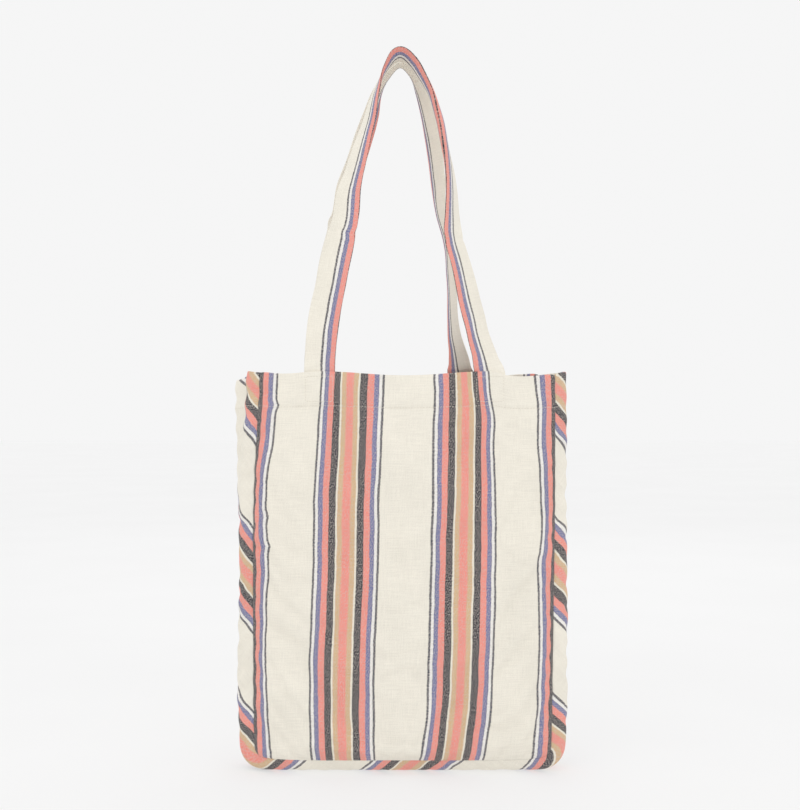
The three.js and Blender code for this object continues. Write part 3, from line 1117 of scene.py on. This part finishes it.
def strap_end(place, facing):
    """Route points of a strap end, lying against the inside of the hem, from its cut end up."""
    stations = []
    for z in (STRAP_END_LOW, STRAP_END_LOW + 12, STRAP_END_LOW + 22, MOUTH - 3):
        start = Vector((place, 0, z)) * MM
        hit, _, _, _ = cloth_tree.ray_cast(start, Vector((0, facing, 0)), 0.08)
        y = hit.y / MM - facing * (STRAP_THICKNESS / 2 + 0.15)
        stations.append((place, y, z))
    return stations


def strap_route(free, left, right, facing):
    """The whole route from one cut end to the other: points and seam directions, evenly spaced."""
    first, last = strap_end(left, facing), strap_end(right, facing)[::-1]
    turn = -180.0 if facing < 0 else 180.0
    points = first + [p[:3] for p in free] + last
    angles = [0.0] * len(first) + [p[3] for p in free] + [turn] * len(last)
    points = np.array(points, float)
    lengths = np.concatenate([[0], np.cumsum(np.linalg.norm(np.diff(points, axis=0), axis=1))])
    places = np.linspace(0, lengths[-1], round(lengths[-1] / STRAP_STEP) + 1)
    return through(places, lengths, points), np.radians(through(places, lengths, np.array(angles))), places


def strap_section():
    """The tube's section: place across from -1 to 1 and height from -1 to 1, once round."""
    across = np.sin(np.linspace(-math.pi / 2, math.pi / 2, 15))
    height = np.maximum(1 - np.abs(across) ** 3.0, 0) ** 0.6
    return np.concatenate([across, across[-2:0:-1]]), np.concatenate([height, -height[-2:0:-1]])


def by_leg(z, side, legs):
    """A shape's size by height, with its own table for each leg."""
    return np.where(side < 0, through(z, LEG_HEIGHTS, legs[0]), through(z, LEG_HEIGHTS, legs[1]))


def strap_rings(free, places, facing, name, seed):
    """The strap's outer and inner rings of points, and the distance of each ring along it."""
    route, angles, along = strap_route(free, *places, facing)
    tangent = unit(np.gradient(route, axis=0))
    edge = np.stack([np.cos(angles), np.sin(angles), np.zeros(len(angles))], axis=1)
    edge = unit(edge - tangent * np.sum(edge * tangent, axis=1, keepdims=True))
    face = np.cross(tangent, edge)
    z = route[:, 2]
    side = np.where(np.arange(len(z)) < np.argmax(z), -1, 1)
    free_part = smooth((z - MOUTH) / 25)
    across, height = strap_section()

    # Width, with the seamed edge drawn in at the kinks.
    width = STRAP_BASE_WIDTH + (STRAP_WIDTH - STRAP_BASE_WIDTH) * smooth((z - MOUTH) / 60)
    width = width + free_part * (0.5 * np.sin(along / 29.0 + seed) + 0.35 * np.sin(along / 11.0))
    step, bend = 0, 0
    for leg, kink_z, length, stand, sideways in KINKS[name]:
        near = np.exp(-(((z - kink_z) / length) ** 2)) * (side == leg)
        step = step + near * sideways
        bend = bend + near * stand

    # Height off the route: the kinks, ripples, and the seamed edge's outward turn.
    ripple = np.sin(along[:, None] / 9.5 + 2.2 * np.sin(along[:, None] / 37.0 + seed) + 0.8 * across)
    swell = 0.5 + 0.5 * np.sin(along / 53.0 + 1.9 * seed)
    turn = by_leg(z, side, CURLS[name])
    turned = np.clip((CURL_END - across) / (CURL_END + 1), 0, 1) ** 1.5
    off = bend[:, None] * (0.4 + 0.6 * across) + 0.38 * ripple * swell[:, None]
    off = off * free_part[:, None] + facing * turn[:, None] * turned

    thickness = STRAP_THICKNESS * (1 + 0.12 * free_part * np.sin(along / 23.0 + seed))
    puff = 1 + (by_leg(z, side, PUFFS[name]) - 1)[:, None] * smooth(0.75 - across / 1.5)
    rings = []
    for inset in (0.0, STRAP_PLY):
        # The seamed edge lies at the start of the section.
        offset = -across * (width[:, None] / 2 - inset) - step[:, None]
        lift = height * (thickness[:, None] * puff / 2 - inset) + off
        rings.append(route[:, None] + edge[:, None] * offset[..., None] + face[:, None] * lift[..., None])
    return rings, along


def tube_faces(count, size):
    """Faces of an outer and an inner tube of rings, joined at both open ends."""
    faces = []
    shift = count * size
    for outer, (a, b, c, d) in zip(ring_quads(0, count, size), ring_quads(shift, count, size)):
        faces += [outer, [a, d, c, b]]
    for start in (0, (count - 1) * size):
        for k in range(size):
            a, b = start + k, start + (k + 1) % size
            faces.append([a, b, shift + b, shift + a])
    return faces


def add_handle(name, free, places, facing, seed):
    """A strap as a folded tube, from one cut end to the other."""
    (outer, inner), along = strap_rings(free, places, facing, name, seed)
    count, size = outer.shape[:2]
    points = np.concatenate([outer.reshape(-1, 3), inner.reshape(-1, 3)])
    from_seam = (strap_section()[0] + 1) / 2 * STRAP_WIDTH
    u = STRAP_SEAM_PLACE + from_seam + SEAM_CURL * (1 - np.exp(-from_seam / 3.0))
    cloth = np.stack(np.broadcast_arrays(u[None, :], along[:, None]), axis=-1).reshape(-1, 2)
    obj = new_object(f"{name}_handle_strap", points, tube_faces(count, size), np.concatenate([cloth, cloth]))
    tidy_normals(obj)
    add_smoothing(obj)
    apply_modifiers(obj)
    return obj


handles = {
    "front": add_handle("front", FRONT_ROUTE, FRONT_HANDLES, -1, 0.8),
    "back": add_handle("back", BACK_ROUTE, BACK_HANDLES, 1, 2.3),
}


# ---- Materials ----


def linear(red, green, blue):
    """A linear colour from 0 to 255 display values."""
    values = [c / 255 for c in (red, green, blue)]
    return (*[c / 12.92 if c <= 0.04045 else ((c + 0.055) / 1.055) ** 2.4 for c in values], 1.0)


CREAM = linear(240, 235, 222)
CORAL = linear(240, 143, 131)
TAN = linear(214, 180, 138)
PALE = linear(238, 232, 216)
CHARCOAL = linear(38, 38, 50)
BLUE = linear(112, 116, 160)
DEEP_BLUE = linear(92, 94, 132)
WHITE = linear(242, 240, 236)
LINE = linear(70, 73, 84)

# The band from its centre out: distance in millimetres and colour, up to the next entry.
STRIPES = [
    (0.0, CORAL),
    (3.4, CORAL),
    (5.0, TAN),
    (9.0, TAN),
    (9.25, PALE),
    (10.9, PALE),
    (11.2, CHARCOAL),
    (17.9, CHARCOAL),
    (18.15, CORAL),
    (24.0, CORAL),
    (24.3, BLUE),
    (28.0, BLUE),
    (28.2, DEEP_BLUE),
    (28.6, DEEP_BLUE),
    (28.9, WHITE),
    (31.5, WHITE),
    (31.8, LINE),
    (33.7, LINE),
    (34.0, CREAM),
]


class Nodes:
    """A material's node tree, with short calls for what the cloth materials repeat."""

    def __init__(self, name):
        self.material = bpy.data.materials.new(name)
        self.material.use_nodes = True
        self.tree = self.material.node_tree
        self.shader = self.tree.nodes["Principled BSDF"]

    def add(self, kind, **settings):
        node = self.tree.nodes.new(kind)
        for key, value in settings.items():
            setattr(node, key, value)
        return node

    def feed(self, sockets, values):
        """Gives each socket its constant, or joins another node's output to it."""
        for socket, value in zip(sockets, values):
            if isinstance(value, (int, float, tuple)):
                socket.default_value = value
            else:
                self.tree.links.new(value, socket)

    def shade(self, **values):
        """Feeds the shader's inputs by name, with _ for a space."""
        for name, value in values.items():
            self.feed([self.shader.inputs[name.replace("_", " ")]], [value])

    def math(self, operation, *values):
        node = self.add("ShaderNodeMath", operation=operation)
        self.feed(node.inputs, values)
        return node.outputs[0]

    def times(self, a, b):
        return self.math("MULTIPLY", a, b)

    def plus(self, a, b):
        return self.math("ADD", a, b)

    def noise(self, vector, scale, detail=2.0):
        node = self.add("ShaderNodeTexNoise")
        node.inputs["Scale"].default_value = scale
        node.inputs["Detail"].default_value = detail
        self.feed([node.inputs["Vector"]], [vector])
        return node.outputs["Fac"]

    def yarn_noise(self, u, v, u_scale, v_scale, detail=2.0):
        """Noise laid out in the cloth, with its own scale across and along the stripes."""
        return self.noise(self.vector(self.times(u, u_scale), self.times(v, v_scale)), 1.0, detail)

    def vector(self, x, y, z=0.0):
        node = self.add("ShaderNodeCombineXYZ")
        self.feed(node.inputs, (x, y, z))
        return node.outputs[0]

    def mix(self, factor, a, b, blend="MIX"):
        node = self.add("ShaderNodeMix", data_type="RGBA", blend_type=blend)
        self.feed((node.inputs[0], node.inputs[6], node.inputs[7]), (factor, a, b))
        return node.outputs[2]

    def range(self, value, low, high, to_low=0.0, to_high=1.0):
        node = self.add("ShaderNodeMapRange")
        names = ("Value", "From Min", "From Max", "To Min", "To Max")
        self.feed([node.inputs[name] for name in names], (value, low, high, to_low, to_high))
        return node.outputs[0]

    def bump(self, height, strength, distance):
        """Relief on the shader, its distance in millimetres."""
        node = self.add("ShaderNodeBump")
        node.inputs["Strength"].default_value = strength
        node.inputs["Distance"].default_value = distance * MM
        self.feed([node.inputs["Height"]], [height])
        self.shade(Normal=node.outputs["Normal"])


def stripe_ramp(nodes, distance):
    """The band's colours by distance from its centre."""
    ramp = nodes.add("ShaderNodeValToRGB")
    elements = ramp.color_ramp.elements
    elements.remove(elements[1])
    elements[0].position = 0.0
    elements[0].color = STRIPES[0][1]
    for place, colour in STRIPES[1:]:
        element = elements.new(place / BAND_CENTRE)
        element.color = colour
    nodes.feed([ramp.inputs[0]], [nodes.math("DIVIDE", distance, BAND_CENTRE)])
    return ramp.outputs["Color"]


# Weft yarns show through the coloured stripes strongly, and through the cream ones less.
FLECK_COLOUR = linear(216, 206, 196)
FLECK_IN_BAND = 0.46
FLECK_IN_CREAM = 0.16
TWILL_PITCH = 1.5
WARP_PITCH = 0.8
WEFT_PITCH = 0.95


def woven_material(name):
    """Striped cotton canvas, woven as a slubby twill."""
    nodes = Nodes(name)
    times, plus, spread, yarns = nodes.times, nodes.plus, nodes.range, nodes.yarn_noise
    place = nodes.add("ShaderNodeAttribute", attribute_name="cloth")
    split = nodes.add("ShaderNodeSeparateXYZ")
    nodes.feed(split.inputs, [place.outputs["Vector"]])
    u = times(split.outputs["X"], 1 / MM)
    v = times(split.outputs["Y"], 1 / MM)

    # Yarns wander a little, so the stripes' edges do too.
    wander = yarns(u, v, 0.05, 0.03)
    jitter = yarns(u, v, 0.9, 0.7)
    moved = plus(u, spread(wander, 0.3, 0.7, -0.5, 0.5))
    moved = plus(moved, spread(jitter, 0.3, 0.7, -0.3, 0.3))
    turn = nodes.math("FLOORED_MODULO", moved, REPEAT)
    distance = nodes.math("ABSOLUTE", nodes.math("SUBTRACT", turn, BAND_CENTRE))
    stripes = stripe_ramp(nodes, distance)

    # Pale weft yarns show between the coloured warp in slanted rows of flecks.
    slant = plus(times(u, 0.62), times(v, -0.36))
    rows = nodes.math("SINE", times(slant, 2 * math.pi / TWILL_PITCH))
    breakup = yarns(u, v, 0.95, 0.7, 3.0)
    flecks = plus(spread(rows, 0.0, 1.0, 0.0, 0.3), spread(breakup, 0.45, 0.62))
    strength = spread(distance, 33.6, 34.4, FLECK_IN_BAND, FLECK_IN_CREAM)
    colour = nodes.mix(times(flecks, strength), stripes, FLECK_COLOUR)

    # Slubs in the warp and the weft, and slow patches of tone.
    warp = yarns(u, v, 1.1, 0.06, 3.0)
    weft = yarns(u, v, 0.05, 1.0, 3.0)
    slow = yarns(u, v, 0.02, 0.02)
    tone = plus(spread(warp, 0.25, 0.75, -0.045, 0.045), spread(weft, 0.25, 0.75, -0.05, 0.05))
    tone = plus(tone, spread(slow, 0.3, 0.7, 0.96, 1.02))
    colour = nodes.mix(1.0, colour, nodes.vector(tone, tone, tone), "MULTIPLY")

    # The weave's own relief.
    warp_rib = nodes.math("SINE", times(u, 2 * math.pi / WARP_PITCH))
    weft_rib = nodes.math("SINE", times(v, 2 * math.pi / WEFT_PITCH))
    height = plus(times(times(warp_rib, weft_rib), 0.35), times(rows, 0.3))
    height = plus(height, times(warp, 1.4))
    height = plus(height, times(weft, 1.8))
    nodes.bump(height, 0.3, 0.35)
    nodes.shade(
        Base_Color=colour,
        Roughness=spread(weft, 0.2, 0.8, 0.84, 0.95),
        Specular_IOR_Level=0.25,
        Sheen_Weight=0.12,
        Sheen_Roughness=0.45,
        Sheen_Tint=(1.0, 0.98, 0.95, 1.0),
    )
    return nodes.material


def thread_material():
    """Cream sewing thread with its twist."""
    nodes = Nodes("cotton_thread")
    place = nodes.add("ShaderNodeTexCoord")
    twist = nodes.noise(place.outputs["Object"], 1800.0)
    colour = nodes.mix(nodes.range(twist, 0.3, 0.7), linear(206, 199, 184), linear(232, 226, 213))
    nodes.bump(twist, 0.5, 0.1)
    roughness = nodes.range(twist, 0.3, 0.7, 0.62, 0.8)
    nodes.shade(Base_Color=colour, Roughness=roughness, Sheen_Weight=0.1)
    return nodes.material


FLOOR_GLOW = 0.585


def floor_material():
    """A plain pale floor that glows a little, so that it meets the background."""
    nodes = Nodes("pale_floor")
    place = nodes.add("ShaderNodeTexCoord")
    grain = nodes.noise(place.outputs["Object"], 3.0)
    colour = nodes.mix(nodes.range(grain, 0.3, 0.7), linear(153, 153, 153), linear(156, 156, 156))
    nodes.shade(
        Base_Color=colour,
        Emission_Color=(1.0, 1.0, 1.0, 1.0),
        Emission_Strength=FLOOR_GLOW,
        Roughness=0.9,
        Specular_IOR_Level=0.1,
    )
    return nodes.material


def dress(objects, material):
    """Gives objects one material."""
    for obj in objects:
        obj.data.materials.clear()
        obj.data.materials.append(material)


dress([front_panel, back_panel], woven_material("panel_canvas"))
dress([gusset], woven_material("bias_canvas"))
dress(handles.values(), woven_material("strap_canvas"))
dress(allowances.values(), woven_material("seam_edge_canvas"))
threads = [*box_stitches.values(), *hem_stitches.values(), *seam_stitches.values()]
dress(threads, thread_material())


# ---- Bodies, and what each piece stands for ----

STANDS_FOR = {
    front_panel: ["front_panel", "front_hem"],
    back_panel: ["back_panel", "back_hem"],
    gusset: ["left_gusset", "right_gusset", "base_gusset", "left_hem", "right_hem"],
    **{piece: [f"{side}_seam_allowance"] for side, piece in allowances.items()},
    **{piece: [f"{side}_seam_thread"] for side, piece in seam_stitches.items()},
    **{piece: [f"{side}_hem_stitch"] for side, piece in hem_stitches.items()},
    **{piece: [f"{corner}_box_stitch"] for corner, piece in box_stitches.items()},
}
for piece, nodes in STANDS_FOR.items():
    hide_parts(*nodes)
    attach(piece, "bag")

for side, handle in handles.items():
    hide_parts(f"{side}_handle", f"{side}_left_handle_end", f"{side}_right_handle_end")
    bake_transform(handle)


# ---- Floor and light ----


FLOOR_HALF = 12.0


def add_floor():
    """The floor under the bag, which is staging and no part of it."""
    mesh = bpy.data.meshes.new("floor")
    corners = [(x * FLOOR_HALF, y * FLOOR_HALF, 0) for x, y in ((-1, -1), (1, -1), (1, 1), (-1, 1))]
    mesh.from_pydata(corners, [], [(0, 1, 2, 3)])
    floor = bpy.data.objects.new("floor", mesh)
    bpy.context.scene.collection.objects.link(floor)
    mesh.materials.append(floor_material())


def add_light(name, place, aim, size, power):
    """A soft square lamp at a place, turned to its aim, in metres and watts."""
    data = bpy.data.lights.new(name, "AREA")
    data.shape = "SQUARE"
    data.size = size
    data.energy = power
    light = bpy.data.objects.new(name, data)
    light.location = place
    light.rotation_euler = (Vector(aim) - Vector(place)).to_track_quat("-Z", "Y").to_euler()
    bpy.context.scene.collection.objects.link(light)


WORLD_STRENGTH = 0.92


def add_world():
    """An even pale surround."""
    world = bpy.data.worlds.new("studio")
    world.use_nodes = True
    background = world.node_tree.nodes["Background"]
    background.inputs["Color"].default_value = (1.0, 1.0, 1.0, 1.0)
    background.inputs["Strength"].default_value = WORLD_STRENGTH
    bpy.context.scene.world = world
    bpy.context.scene.view_settings.view_transform = "Standard"


# Name, place, aim, size and power of each lamp.
LAMPS = [
    ("key", (-0.55, -0.9, 1.3), (0, 0, 0.6), 0.9, 2.4),
    ("fill", (1.7, -1.3, 0.9), (0, 0, 0.4), 1.8, 4.2),
    ("rim", (0.3, 1.9, 1.6), (0, 0, 0.4), 1.6, 4.0),
]

add_floor()
for lamp in LAMPS:
    add_light(*lamp)
add_world()
